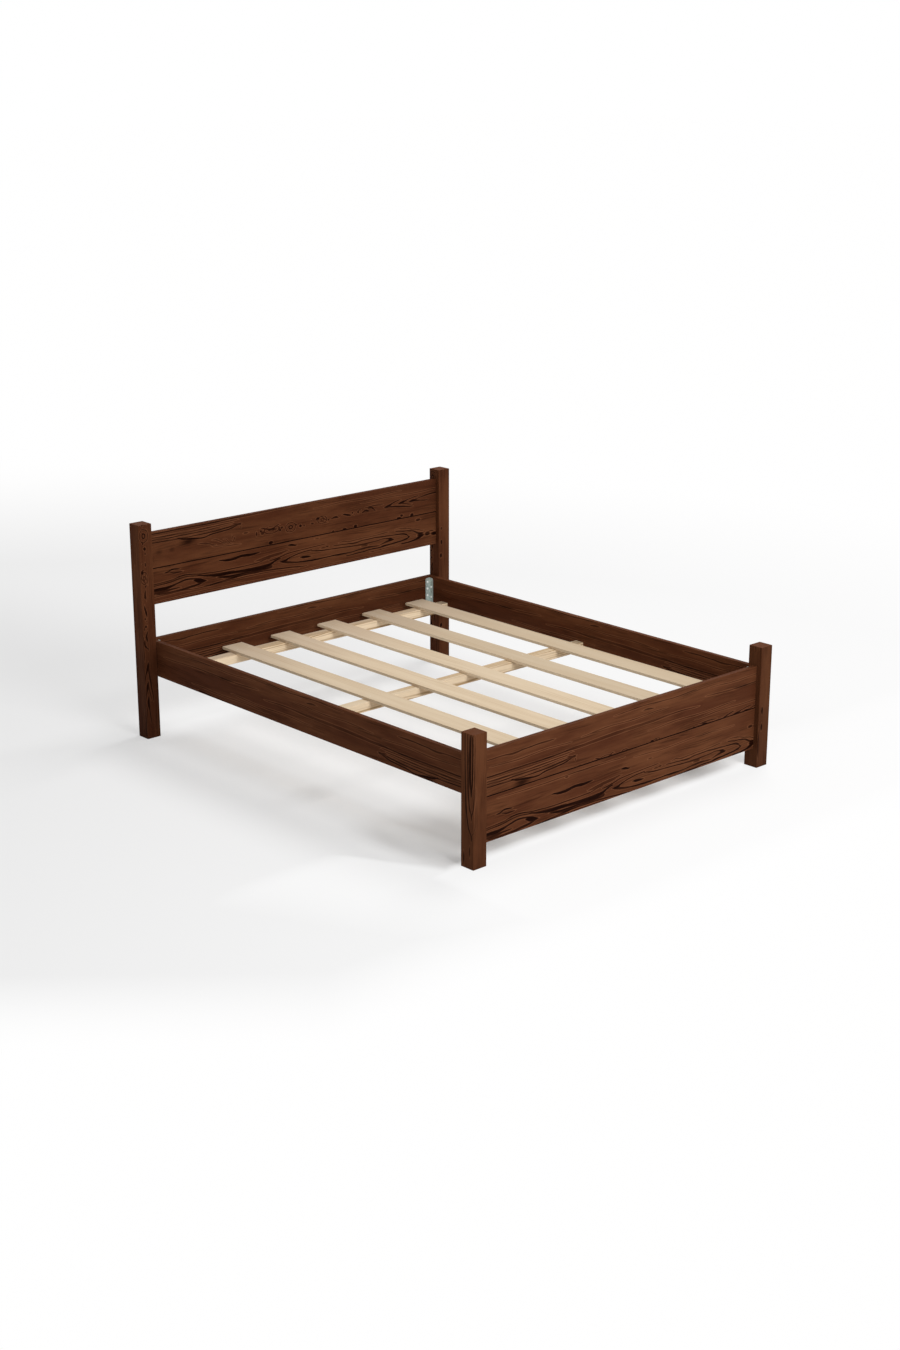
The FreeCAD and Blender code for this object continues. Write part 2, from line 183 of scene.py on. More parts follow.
# Dark streaks, by how dark they are. A streak is a line of points: along,
# across, and half its thickness there.
STREAKS = {
    0.35: [
        [(430, 99, 1), (500, 99, 5), (600, 96, 6), (700, 93, 6), (900, 91, 4.5), (1100, 87, 2),
         (1200, 92, 0.5)],
        [(1230, 482, 1.2), (1294, 481, 2), (1360, 478, 1.4), (1400, 480, 0.6)],
        [(255, 185, 0.8), (300, 192, 2.6), (345, 205, 0.8)],
        [(330, 180, 0.8), (370, 192, 2.6), (400, 206, 0.8)],
        [(392, 186, 0.8), (412, 198, 2.6), (432, 212, 0.8)],
        [(330, 211, 0.8), (400, 218, 2), (480, 222, 0.8)],
        [(1260, 28, 0.8), (1420, 34, 1.8), (1600, 30, 1.8), (1780, 36, 0.8)],
        [(520, 62, 0.8), (660, 56, 2), (820, 60, 1.8), (1000, 54, 0.8)],
        [(900, 128, 0.8), (1060, 122, 2.2), (1240, 126, 2), (1420, 120, 0.8)],
        [(1180, 146, 0.8), (1320, 140, 2), (1500, 143, 2), (1700, 138, 0.8)],
        [(40, 68, 0.8), (180, 72, 2), (330, 66, 1.8), (460, 70, 0.8)],
        [(0, 502, 1.4), (300, 497, 1.8), (640, 503, 1.4), (1000, 498, 1.8), (1400, 503, 1.6),
         (1900, 498, 0.8)],
        [(80, 318, 0.8), (300, 322, 2), (560, 318, 1.8), (760, 322, 0.8)],
        [(820, 338, 0.8), (1000, 344, 2), (1200, 340, 1.8), (1420, 345, 0.8)],
        [(1350, 599, 1.5), (1500, 595, 2), (1552, 575, 2)],
    ],
    0.5: [
        [(560, 412, 0.6), (640, 404, 6), (700, 400, 5), (745, 394, 0.6)],
        [(1045, 408, 0.8), (1062, 404, 1.6), (1106, 411, 2), (1165, 409, 1.8), (1199, 407, 1.6),
         (1227, 408, 1.8), (1281, 408, 2), (1340, 404, 0.8)],
        [(1389, 399, 0.8), (1448, 403, 1.8), (1494, 414, 2), (1530, 422, 1.8), (1562, 430, 0.8)],
        [(925, 192, 0.8), (950, 196, 1.8), (972, 202, 0.8)],
        [(15, 113, 1.6), (200, 112, 1.8), (420, 111, 1.4), (470, 109, 0.6)],
        [(15, 133, 1.6), (150, 134, 1.8), (300, 132, 1.6), (430, 127, 0.6)],
        [(700, 20, 0.8), (860, 16, 2), (1040, 22, 1.8), (1180, 18, 0.8)],
        [(1240, 60, 0.8), (1400, 66, 2.4), (1640, 64, 2), (1900, 70, 0.8)],
        [(0, 480, 1.4), (150, 475, 1.8), (260, 480, 1.6), (420, 474, 1.4), (600, 474, 1.4),
         (800, 486, 0.6)],
    ],
    0.65: [
        [(20, 38, 1), (100, 38, 2), (160, 42, 3), (220, 38, 1.6), (300, 36, 2.4), (370, 37, 0.5)],
        [(865, 36, 0.5), (890, 35, 3), (925, 38, 0.5)],
        [(1205, 169, 0.6), (1260, 167, 2.2), (1310, 170, 0.5)],
        [(1415, 182, 2), (1450, 187, 2.4), (1490, 194, 0.5)],
        [(1500, 175, 1), (1560, 167, 1.8), (1650, 160, 3.5)],
        [(100, 385, 0.5), (122, 389, 3), (165, 389, 0.5)],
        [(0, 462, 5), (60, 463, 5), (110, 460, 3), (150, 458, 0.5)],
        [(648, 182, 2.6), (684, 188, 0.8)],
        [(934, 171, 0.8), (950, 176, 1.6), (962, 187, 2.6), (970, 192, 0.8)],
        [(15, 123, 1.6), (180, 124, 1.8), (330, 121, 1.6), (440, 119, 0.6)],
        [(1149, 593, 1.5), (1300, 592, 2.2), (1420, 588, 2.4), (1470, 575, 2)],
    ],
    0.8: [
        [(15, 105, 2), (150, 104, 2.4), (300, 104, 2), (420, 101, 1.6), (480, 99, 0.5)],
        [(15, 144, 1.4), (150, 146, 1.6), (300, 144, 1.8), (400, 139, 1.8), (450, 134, 1.6),
         (484, 130, 1.6)],
        [(440, 126, 0.4), (460, 130, 1.6), (480, 134, 2.6)],
        [(595, 171, 0.6), (625, 178, 2.4), (655, 183, 3.2), (675, 177, 2.4), (695, 168, 0.8)],
        [(1335, 186, 3), (1370, 189, 2.6), (1430, 197, 2.4), (1495, 206, 0.5)],
        [(70, 381, 0.5), (90, 379, 2.4), (112, 372, 2.4), (150, 376, 0.5)],
        [(0, 424, 1.6), (100, 419, 1.8), (180, 408, 1.8), (250, 417, 1.6), (400, 424, 1.4),
         (560, 423, 1.2), (640, 413, 0.5)],
        [(0, 432, 1.8), (100, 426, 2), (180, 417, 2), (250, 424, 1.8), (340, 431, 1.6),
         (440, 434, 0.6)],
        [(30, 471, 1.4), (120, 471, 1.8), (200, 467, 4), (240, 463, 4), (275, 458, 0.8)],
        [(350, 449, 0.8), (400, 456, 5.5), (450, 459, 5.5), (500, 457, 3), (530, 459, 3),
         (600, 455, 5), (648, 452, 6), (652, 450, 0.5)],
        [(640, 424, 0.6), (690, 418, 2.2), (740, 409, 1.8), (850, 403, 1.4), (960, 400, 0.6)],
        [(708, 442, 3), (740, 448, 4), (800, 457, 2.6), (862, 461, 1.6)],
        [(880, 418, 0.8), (927, 425, 1.8), (994, 429, 2.2), (1045, 431, 1.8), (1096, 435, 2.2),
         (1142, 437, 2.6), (1195, 438, 3.8), (1224, 436, 2.6), (1276, 435, 2), (1307, 432, 2),
         (1340, 436, 3), (1363, 441, 5), (1374, 447, 1)],
        [(855, 460, 2), (880, 463, 2.4), (983, 462, 1.8), (1004, 461, 2.6), (1040, 463, 3.6),
         (1078, 463, 2.4), (1112, 463, 1.4), (1158, 460, 2.6), (1195, 458, 4.2), (1212, 457, 4.2),
         (1250, 459, 2.4), (1286, 461, 1)],
        [(1292, 457, 1), (1314, 453, 3), (1340, 449, 4), (1374, 447, 1)],
        [(1009, 415, 0.8), (1047, 418, 1.6), (1096, 420, 2), (1142, 423, 2.6), (1181, 419, 2),
         (1240, 418, 1.6), (1294, 420, 2.2), (1340, 423, 2), (1396, 426, 2.2), (1440, 430, 2.8),
         (1460, 436, 3.4), (1474, 447, 1.6)],
        [(1389, 410, 1), (1435, 415, 2), (1476, 419, 2.4), (1494, 423, 2.6), (1512, 430, 3),
         (1532, 440, 5), (1552, 449, 8), (1564, 453, 2)],
        [(1000, 190, 0.8), (1015, 186, 3), (1030, 187, 4.4), (1040, 190, 0.8)],
        [(1186, 188, 2), (1203, 183, 3.2), (1221, 187, 2.6)],
        [(1222, 174, 1), (1238, 175, 2.6), (1250, 180, 3.4), (1264, 190, 1)],
        [(280, 477, 0.8), (400, 469, 2.4), (500, 464, 2.2), (620, 466, 2.2), (760, 474, 2),
         (850, 482, 0.6)],
        [(1148, 555, 1.5), (1300, 556, 2.4), (1420, 563, 2.8), (1470, 575, 2)],
        [(1147, 541, 1.5), (1350, 543, 2.4), (1500, 557, 2.8), (1550, 575, 3)],
    ],
    1: [
        [(145, 144, 0.6), (170, 150, 2.6), (220, 156, 2.6), (280, 161, 2.4), (320, 154, 2),
         (390, 149, 1.6), (440, 143, 1.4), (478, 134, 0.8)],
        [(1322, 186, 1), (1340, 184, 5.5), (1365, 176, 3), (1385, 169, 2), (1420, 163, 0.5)],
        [(1405, 182, 0.8), (1425, 178, 5), (1450, 173, 3), (1480, 166, 1.4), (1530, 160, 0.5)],
        [(1475, 180, 0.8), (1498, 178, 5), (1525, 182, 2), (1590, 188, 0.5)],
        [(362, 376, 0.8), (395, 381, 3.4), (430, 382, 4.6), (490, 375, 5), (535, 378, 4),
         (580, 376, 0.8)],
        [(748, 370, 0.8), (768, 372, 4.2), (792, 377, 0.8)],
        [(0, 449, 6), (60, 450, 7), (100, 446, 5), (140, 438, 3.4), (185, 430, 2.4),
         (225, 434, 2.6), (255, 442, 5), (285, 451, 0.8)],
        [(222, 441, 0.5), (243, 447, 7), (262, 452, 6), (290, 454, 0.8)],
        [(235, 422, 0.8), (290, 431, 3), (340, 438, 4.6), (420, 441, 5.2), (500, 445, 5.8),
         (550, 447, 8), (600, 447, 8.5), (640, 441, 5), (665, 432, 3), (700, 424, 0.8)],
        [(815, 438, 0.8), (836, 440, 4.6), (875, 442, 0.6)],
        [(698, 439, 0.8), (712, 441, 4.5), (735, 436, 4), (755, 428, 2.2), (800, 420, 1.4),
         (880, 413, 0.6)],
        [(1086, 476, 1.4), (1140, 475, 1.8), (1186, 474, 1.4), (1245, 470, 1.8), (1286, 471, 2),
         (1319, 467, 3.4), (1363, 465, 2.6), (1407, 462, 3), (1440, 458, 3.2), (1464, 453, 4),
         (1474, 447, 1.6)],
        [(1425, 475, 1.8), (1476, 473, 2.6), (1514, 468, 3.6), (1538, 460, 7), (1564, 453, 3)],
        [(1070, 181, 0.8), (1090, 185, 3.8), (1116, 190, 0.8)],
        [(1150, 568, 1), (1200, 567, 3.4), (1330, 569, 3.4), (1380, 574, 2)],
        [(1152, 581, 1), (1200, 582, 2.4), (1330, 580, 2.4), (1380, 574, 2)],
    ],
}

# Small dark marks: middle, half length, half height, how dark
MARKS = [
    (512, 178, 16, 5, 0.5), (436, 188, 4, 13, 0.4), (449, 192, 4, 9, 0.5), (486, 146, 5, 8, 0.4),
    (570, 193, 5, 12, 0.8), (594, 184, 8, 5, 0.9), (603, 193, 13, 9, 0.6), (703, 196, 7, 6, 0.95),
    (712, 186, 9, 7, 0.65), (795, 186, 6, 5, 0.55), (818, 194, 9, 8, 0.9), (840, 197, 7, 5, 0.65),
    (888, 195, 11, 4, 0.75), (882, 184, 3, 9, 0.4), (920, 176, 11, 6, 0.95),
    (911, 181, 6, 5, 0.7), (982, 192, 6, 5, 0.85), (1125, 181, 6, 5, 0.95),
    (1135, 189, 5, 6, 0.55), (1160, 183, 7, 8, 0.85), (1170, 174, 9, 4, 0.5),
    (648, 245, 14, 8, 1.0), (1008, 250, 9, 6, 0.85), (1076, 251, 12, 6, 0.9),
    (1142, 248, 13, 8, 0.95), (1408, 251, 15, 7, 1.0), (1426, 241, 10, 7, 0.95),
    (1490, 248, 13, 9, 1.0), (912, 366, 16, 4, 0.45), (1530, 374, 17, 8, 0.6),
    (972, 413, 11, 4, 0.7), (950, 415, 20, 4, 0.5), (1355, 444, 16, 7, 0.85),
    (1545, 450, 22, 14, 1.0), (1589, 451, 20, 11, 0.95), (1634, 456, 26, 10, 1.0),
    (1614, 441, 18, 4, 0.6), (1245, 483, 12, 4, 0.5), (1294, 481, 10, 4, 0.6),
    (440, 327, 12, 5, 0.4), (580, 451, 60, 8, 0.5), (1195, 446, 26, 5, 0.45),
    (1416, 719, 18, 6, 1.0), (1488, 719, 18, 6, 0.9), (1560, 703, 70, 4, 0.6),
    (1631, 535, 30, 5, 0.8), (1600, 566, 24, 4, 0.7),
]

# Soft dark blots: middle, half length, half height, how dark
BLOTS = [(203, 166, 46, 14, 1.7), (115, 188, 14, 11, 0.7), (48, 190, 20, 17, 0.7)]

# Broad lighter and darker zones: middle, half length, half height, and how
# much lighter the wood is there, or darker below zero
ZONES = [
    (450, 120, 330, 38, -0.18), (1650, 115, 330, 45, -0.22), (60, 140, 150, 40, 0.2),
    (1150, 20, 300, 40, 0.1), (1200, 178, 240, 32, 0.14), (100, 345, 200, 35, 0.2),
    (1540, 340, 180, 60, -0.22), (520, 395, 170, 28, -0.2), (900, 430, 150, 28, 0.16),
    (250, 468, 300, 20, -0.14), (800, 504, 900, 26, -0.18), (1500, 495, 200, 28, -0.12),
    (1000, 345, 300, 30, -0.08), (700, 470, 100, 12, -0.15),
]

# Small rings round a point: middle, half length, half height, the distance
# between rings as a share of these, how dark
RIPPLES = [
    (762, 192, 36, 27, 0.55, 1.0), (655, 186, 62, 24, 0.46, 0.5), (946, 186, 38, 24, 0.46, 0.6),
]

# Where each of these begins and where it is full, from its middle, as shares
# of its half size. For the rings' lines it is shares of their distance.
MARK_EDGE = (1.35, 0.45)
BLOT_EDGE = (1.5, 0.0)
ZONE_EDGE = (1.4, 0.3)
RIPPLE_EDGE = (1.0, 0.7)
RIPPLE_LINE = (0.35, 0.05)

# How far the pattern wavers across the grain in short and in long waves, how
# far along it, and how far it lies beyond the places given above
WAVER = 4
SWING = 3
SLIDE = 12
ROW_SHIFT = 1

# Length and height of the waves of these three, and of the other noises in
# the pattern, in millimetres
WAVER_WAVES = (60, 14)
SWING_WAVES = (240, 90)
SLIDE_WAVES = (30, 8)
RING_WAVES = (500, 60)
RING_PLACE_WAVES = (260, 30)
FIBRE_WAVES = (70, 3.2)
STRAND_WAVES = (150, 9)
CLOUD_WAVES = (260, 55)

# Faint rings everywhere: their distance, how many rings they wander, the width
# of their lines, and between which values of a noise they grow strong
RING_PITCH = 9.5
RING_WANDER = 6
RING_LINE = (0.5, 0.1)
RING_PLACES = (0.44, 0.68)

# Shares of the rings, fibres and strands in the fine grain
RING_SHARE = 0.7
FIBRE_SHARE = 1.5
STRAND_SHARE = 1.2

# The upper planks' part of the pattern is darker below this edge, and more so
# to the right: points of the edge along and across, its softness, where the
# part ends, where along it the zone begins and is full, and how dark it is
DARKER_EDGE = [(0, 105), (500, 103.2), (1000, 76.8), (1300, 70.8), (2000, 67.2)]
DARKER_FADE = (-4, 10)
DARKER_END = (262, 250)
DARKER_RISE = (300, 1400)
DARKER_LEVEL = 0.125

# The lower planks' part is darker at the left and lighter at the right: where
# it begins, the places along it, and the lightness at both
LOWER_FADE = (255, 275)
LOWER_RISE = (0, 1500)
LOWER_LEVELS = (-0.12, 0.12)


def level(darkness):
    """Value in the pattern that a darkness has."""
    return RIM_END + (1 - RIM_END) * darkness


def streak_rows():
    """The streaks in rows of one darkness that don't overlap along the grain,
    so that one pair of curves draws a whole row."""
    rows = []
    for darkness, streaks in STREAKS.items():
        own_rows = []
        for points in sorted(streaks, key=lambda points: points[0][0]):
            for row in own_rows:
                if row[-1][-1][0] + ROW_SPACE < points[0][0]:
                    row.append(points)
                    break
            else:
                own_rows.append([points])
        rows += [(darkness, row) for row in own_rows]
    return rows


def pattern_curve(graph, along, points):
    """Curve through points of the pattern, in millimetres, each with whether
    the curve has a corner there."""
    return graph.curve(along, [
        (a / PATTERN_LENGTH, t / PATTERN_DEPTH, corner) for a, t, corner in sorted(points) if a >= 0
    ])


def streak_row(graph, along, across, darkness, row):
    """How dark the streaks of one row are at a place."""
    middles, halves = [], []
    for points in row:
        (first, first_middle, _), (last, last_middle, _) = points[0], points[-1]
        middles += [(first - RUN_OUT, first_middle, True), (last + RUN_OUT, last_middle, True)]
        halves += [(first - RUN_OUT, 0, True), (last + RUN_OUT, 0, True)]
        middles += [(a, t, False) for a, t, _ in points]
        halves += [(a, half + EDGE_OUT, False) for a, _, half in points]
    middle, half = (pattern_curve(graph, along, points) for points in (middles, halves))
    edge = -(EDGE_OUT + EDGE_IN) / PATTERN_DEPTH
    return graph.smooth(abs(across - middle) - half, 0, edge, 0, level(darkness))


def from_spot(graph, place, along, across, half_length, half_height):
    """Distance from a point, in half lengths and half heights."""
    scaled = graph.node("ShaderNodeVectorMath", {
        0: place, 1: (1 / half_length, 1 / half_height, 0),
        2: (-along / half_length, -across / half_height, 0),
    }, operation="MULTIPLY_ADD")
    inputs = {0: scaled.outputs["Vector"]}
    return graph.value("ShaderNodeVectorMath", inputs, "Value", operation="LENGTH")


def spot(graph, place, size, edge, strength):
    """How strong a soft spot is at a place."""
    return graph.smooth(from_spot(graph, place, *size), *edge, 0, strength)


def ripples(graph, place, size, pitch, darkness):
    """How dark small rings round a point are at a place."""
    radius = from_spot(graph, place, *size)
    rings = graph.lines(radius / pitch, *RIPPLE_LINE, level(darkness))
    return rings * graph.smooth(radius, *RIPPLE_EDGE)


def strongest(graph, values):
    """Largest value. The values are a generator: each joins the total as soon
    as its nodes are made, because a shader can hold few open values."""
    total = next(values)
    for value in values:
        total = graph.math("MAXIMUM", total, value)
    return total


def grain_group():
    """Group that turns a place in the pattern into how dark the streaks are
    there, how light the wood is between them, and its fine grain."""
    tree = bpy.data.node_groups.new("StainedGrain", "ShaderNodeTree")
    for name in ("Along", "Across"):
        tree.interface.new_socket(name, in_out="INPUT", socket_type="NodeSocketFloat")
    for name in ("Dark", "Tone", "Fine"):
        tree.interface.new_socket(name, in_out="OUTPUT", socket_type="NodeSocketFloat")
    graph = Graph(tree)
    entry = graph.node("NodeGroupInput")
    along, across = (Value(graph, entry.outputs[name]) for name in ("Along", "Across"))

    def noise(length, height, layer=0.0, **texture):
        """Noise whose waves have about this length and height."""
        return graph.noise(graph.vector(along / length, across / height, layer), **texture)

    # Wavering lines, so that no streak has a ruled edge
    waver = noise(*WAVER_WAVES, detail=3.0)
    swing = noise(*SWING_WAVES, detail=1.0)
    bent = across + (waver - 0.5) * WAVER + (swing - 0.5) * SWING - ROW_SHIFT
    shifted = along + (noise(*SLIDE_WAVES, layer=4.0) - 0.5) * SLIDE
    place = graph.vector(shifted, bent)
    share_along, share_across = shifted / PATTERN_LENGTH, bent / PATTERN_DEPTH

    dark = strongest(graph, chain(
        (streak_row(graph, share_along, share_across, *row) for row in streak_rows()),
        (spot(graph, place, size, MARK_EDGE, level(darkness)) for *size, darkness in MARKS),
        (ripples(graph, place, size, pitch, darkness) for *size, pitch, darkness in RIPPLES),
    ))

    wander = noise(*RING_WAVES, layer=9.0, detail=1.0)
    ring_place = bent / RING_PITCH + (wander - 0.5) * RING_WANDER
    ring_line = graph.lines(ring_place, *RING_LINE)
    ring_strength = graph.smooth(noise(*RING_PLACE_WAVES, layer=2.0), *RING_PLACES)
    fibres = noise(*FIBRE_WAVES, layer=7.0, detail=4.0, roughness=0.65)
    strands = noise(*STRAND_WAVES, layer=12.0)
    blots = strongest(graph, (
        spot(graph, place, size, BLOT_EDGE, darkness) for *size, darkness in BLOTS
    ))
    fine = ring_line * ring_strength * RING_SHARE + (fibres - 0.5) * FIBRE_SHARE
    fine = fine + (strands - 0.5) * STRAND_SHARE + blots

    cloud = noise(*CLOUD_WAVES, layer=3.0, detail=3.0)
    edge = pattern_curve(graph, share_along, [(a, t, False) for a, t in DARKER_EDGE])
    darker = graph.smooth(bent - edge * PATTERN_DEPTH, *DARKER_FADE)
    darker = darker * graph.smooth(across, *DARKER_END)
    darker = darker * graph.smooth(along, *DARKER_RISE, 0, DARKER_LEVEL)
    lower = graph.smooth(across, *LOWER_FADE) * graph.smooth(along, *LOWER_RISE, *LOWER_LEVELS)
    tone = cloud + lower - darker
    for *size, lightness in ZONES:
        tone = tone + spot(graph, place, size, ZONE_EDGE, lightness)

    exit_node = graph.node("NodeGroupOutput")
    for name, given in (("Dark", dark), ("Tone", tone), ("Fine", fine)):
        graph.feed(exit_node.inputs[name], given)


# Colours of the stain, and how much lighter each board is than these
STAIN_PALE = (0.187, 0.0730, 0.0340, 1)
STAIN_LIGHT = (0.126, 0.0452, 0.0190, 1)
STAIN_MIDDLE = (0.074, 0.0226, 0.0096, 1)
STAIN_DARK = (0.010, 0.0022, 0.0009, 1)
STAIN_TINTS = {
    "footboard_upper_plank": 1.07, "footboard_lower_plank": 1.10,
    "headboard_upper_plank": 1.06, "headboard_lower_plank": 1.11,
    "head_rail": 0.99, "side_rail_left": 0.97, "side_rail_right": 1.09,
    "head_post_left": 0.98, "head_post_right": 1.02,
    "foot_post_left": 0.93, "foot_post_right": 0.84,
}

# Between which tones the wood goes from middle to light, how pale the rims of the streaks are, how
# dark the fine grain, and the width of a seam's dark line. That line is partly stain in the gap
# between two planks and partly painted shade in the groove there.
TONE_RANGE = (0.2, 0.8)
RIM_SHARE = 0.8
FINE_SHARE = 0.6
SEAM_SHADE_EDGE = (0.0042, 0.0016)

# The grain's values between which the stain goes from its least to its most
# rough, and how rough it is there
ROUGH_GRAIN = (-0.3, 1.0)
STAIN_ROUGHNESS = (0.52, 0.66)

# Refraction of wood, how much the stained wood shines, and the strength and
# depth of the relief that its grain makes
WOOD_IOR = 1.45
STAIN_SHINE = 0.02
STAIN_RELIEF = (0.12, 0.001)

# Painted shade: how much darker a post is towards the floor, standing in for the near rail's shadow
# on the left head post and the dimmer light low down, and where that begins and ends
POST_FOOT_PAINTED_SHADE = {
    "head_post_left": (0.38, 0.44, 0.34), "foot_post_left": (0.15, 0.22, 0.16),
    "foot_post_right": (0.2, 0.29, 0.24),
}

# Where the boards lie in the pattern. Across the bed and along it, a board has
# the row at its top edge. A post has the place along the grain at the floor,
# and the row at its left front corner. A plank's tenons don't count.
PLANK_ROWS = {
    "footboard_upper_plank": 0, "footboard_lower_plank": LOWER_PART,
    "headboard_upper_plank": 97, "headboard_lower_plank": LOWER_PART + 53,
    "head_rail": 14,
}
RAIL_ROWS = {"side_rail_left": 12, "side_rail_right": 17}
POST_PLACES = {
    "head_post_left": (1665, 168), "head_post_right": (1674, 236),
    "foot_post_left": (1668, LOWER_PART + 287), "foot_post_right": (1664, LOWER_PART + 400),
}
TENON = 0.03

# Rings on the posts' sawn ends, in millimetres: how far left of and in front
# of the bed's middle the pith is, their distance, and the waves and reach of
# their wobble. Faces whose normal rises more than these are ends.
PITH_LEFT, PITH_FRONT = 930, 1080
END_RING_PITCH = 5
END_RING_STRENGTH = 0.6
WOBBLE_WAVE = 30
WOBBLE = 6
END_FACE = (0.8, 0.95)


def new_material(name):
    material = bpy.data.materials.new(name)
    material.use_nodes = True
    material.node_tree.nodes.clear()
    return material, Graph(material.node_tree)


def object_place(graph):
    return graph.node("ShaderNodeTexCoord").outputs["Object"]


def normal_rise(graph):
    """How much the normal of a face rises or falls: 1 on a level face."""
    return abs(graph.parts(graph.node("ShaderNodeNewGeometry").outputs["Normal"])[2])


def surface(graph, **inputs):
    shader = graph.node("ShaderNodeBsdfPrincipled", {
        name.replace("_", " "): given for name, given in inputs.items()
    })
    graph.node("ShaderNodeOutputMaterial", {"Surface": shader.outputs[0]})


def relief(graph, height, strength, depth):
    """Normals of a surface that rises with a value."""
    inputs = {"Height": height, "Strength": strength, "Distance": depth}
    return graph.node("ShaderNodeBump", inputs).outputs[0]


def shade(colour, factor):
    return (*(part * factor for part in colour[:3]), 1)


def end_grain(graph, place, colour):
    """Growth rings on the sawn ends of an upright post, instead of a colour."""
    upright = graph.smooth(normal_rise(graph), *END_FACE)
    x, y = (part * MM for part in graph.parts(place)[:2])
    wobble = graph.noise(graph.vector(x / WOBBLE_WAVE, y / WOBBLE_WAVE)) * WOBBLE
    x, y = x + PITH_LEFT, y + PITH_FRONT
    radius = graph.math("SQRT", x * x + y * y) + wobble
    rings = graph.lines(radius / END_RING_PITCH, *RING_LINE, END_RING_STRENGTH)
    return graph.mix(upright, colour, graph.mix(rings, STAIN_LIGHT, STAIN_MIDDLE))


def stained_pine(name, tint, foot, along_axis, along_start, across_axis, across_start, seam=None):
    """Stained pine whose grain runs along an axis of the frame. A plank is darker beside the seam
    with its neighbour, partly stain and partly painted shade in the groove, and a post has painted
    shade towards the floor."""
    material, graph = new_material(name)
    place = object_place(graph)
    along, across = (
        graph.value("ShaderNodeVectorMath", {0: place, 1: axis}, "Value", operation="DOT_PRODUCT")
        * MM + start
        for axis, start in ((along_axis, along_start), (across_axis, across_start))
    )
    grain = graph.node("ShaderNodeGroup", node_tree=bpy.data.node_groups["StainedGrain"])
    graph.feed(grain.inputs["Along"], along)
    graph.feed(grain.inputs["Across"], across)
    dark, tone, fine = (Value(graph, grain.outputs[key]) for key in ("Dark", "Tone", "Fine"))
    # Partly stain and partly painted shade in the groove at a plank's seam
    if seam is not None:
        height = graph.parts(place)[2]
        dark = graph.math("MAXIMUM", dark, graph.smooth(abs(height - seam), *SEAM_SHADE_EDGE))
    middle, light, pale = (shade(stain, tint) for stain in (STAIN_MIDDLE, STAIN_LIGHT, STAIN_PALE))
    wood = graph.mix(graph.smooth(tone, *TONE_RANGE), middle, light)
    rim = graph.smooth(dark, 0, RIM_PEAK) * graph.smooth(dark, 2 * RIM_END, RIM_PEAK)
    wood = graph.mix(rim * RIM_SHARE, wood, pale)
    depth = graph.math("MAXIMUM", (dark - RIM_END) / (1 - RIM_END), 0.0)
    colour = graph.mix(depth + fine * FINE_SHARE, wood, STAIN_DARK)
    # Painted shade: a post is darker towards the floor, where less light reaches it
    if foot is not None:
        share, top, bottom = foot
        height = graph.parts(place)[2]
        colour = graph.mix(graph.smooth(height, top, bottom, 0, share), colour, STAIN_DARK)
    if along_axis[2]:
        colour = end_grain(graph, place, colour)
    normal = relief(graph, fine, *STAIN_RELIEF)
    surface(
        graph, Base_Color=colour,
        Roughness=graph.smooth(fine + dark, *ROUGH_GRAIN, *STAIN_ROUGHNESS),
        Normal=normal, IOR=WOOD_IOR, Specular_IOR_Level=STAIN_SHINE,
    )
    return material


def paint(node_name, material):
    slots = nodes[node_name].data.materials
    if slots:
        slots[0] = material
    else:
        slots.append(material)


def board_grain():
    """How each stained board lies in the pattern: the axis and the start along
    and across it, and a plank's seam."""
    boards = {}
    for name, row in PLANK_ROWS.items():
        low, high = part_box(name)
        seam = low[2] if "upper" in name else high[2] if "lower" in name else None
        boards[name] = (
            (1, 0, 0), -(low[0] + TENON) * MM, (0, -1, -1), row + (high[2] + low[1]) * MM, seam,
        )
    for name, row in RAIL_ROWS.items():
        low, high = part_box(name)
        boards[name] = ((0, 1, 0), -low[1] * MM, (-1, 0, -1), row + (high[2] + low[0]) * MM)
    for name, (start, row) in POST_PLACES.items():
        low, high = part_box(name)
        boards[name] = ((0, 0, -1), start, (1, -1, 0), row - (low[0] - low[1]) * MM)
    return boards


grain_group()
for node_name, laid in board_grain().items():
    # foot holds a post's painted shade towards the floor
    tint, foot = STAIN_TINTS[node_name], POST_FOOT_PAINTED_SHADE.get(node_name)
    paint(node_name, stained_pine(f"stained_{node_name}", tint, foot, *laid))


# Colours of the plain pine. Its flat faces have painted shade, darker and greyer, that grows
# between two places towards the head end, which lies in shade.
PINE_LIGHT = (0.80, 0.655, 0.475, 1)
PINE_MIDDLE = (0.70, 0.555, 0.385, 1)
PINE_HEAD_SHADE = (0.59, 0.465, 0.345, 1)
PINE_LINE = (0.46, 0.30, 0.15, 1)
HEAD_SHADE_PLACES = (0.35, 0.95)
HEAD_SHADE_SHARE = 0.75

# How much lighter each slat and bar is than the colours of pine, on its flat faces and on its
# upright ones. This is partly each board's own tone and partly painted light and shade: the slats
# at the far side are painted darker, and the upright faces lighter or darker for how the light
# falls on them. Faces whose normal rises less are upright.
SLAT_TONES_AND_PAINTED_SHADING = ((0.97, 0.95), (0.96, 0.90), (1.0, 0.98), (0.98, 1.22), (0.83, 1.20), (0.84, 1.0))
BAR_TONES_AND_PAINTED_SHADING = ((0.98, 1.2), (0.98, 1.22), (0.97, 1.3))
UPRIGHT_FACE = (0.7, 0.3)

# Growth lines of slats and of bars: how dark, and their distance in
# millimetres. Then how many lines they wander, the width of a line, and
# between which values of a noise they grow strong.
SLAT_LINES = (0.3, 13)
BAR_LINES = (1.1, 12)
LINE_WANDER = 7
LINE_EDGE = (0.5, 0.05)
LINE_PLACES = (0.35, 0.65)

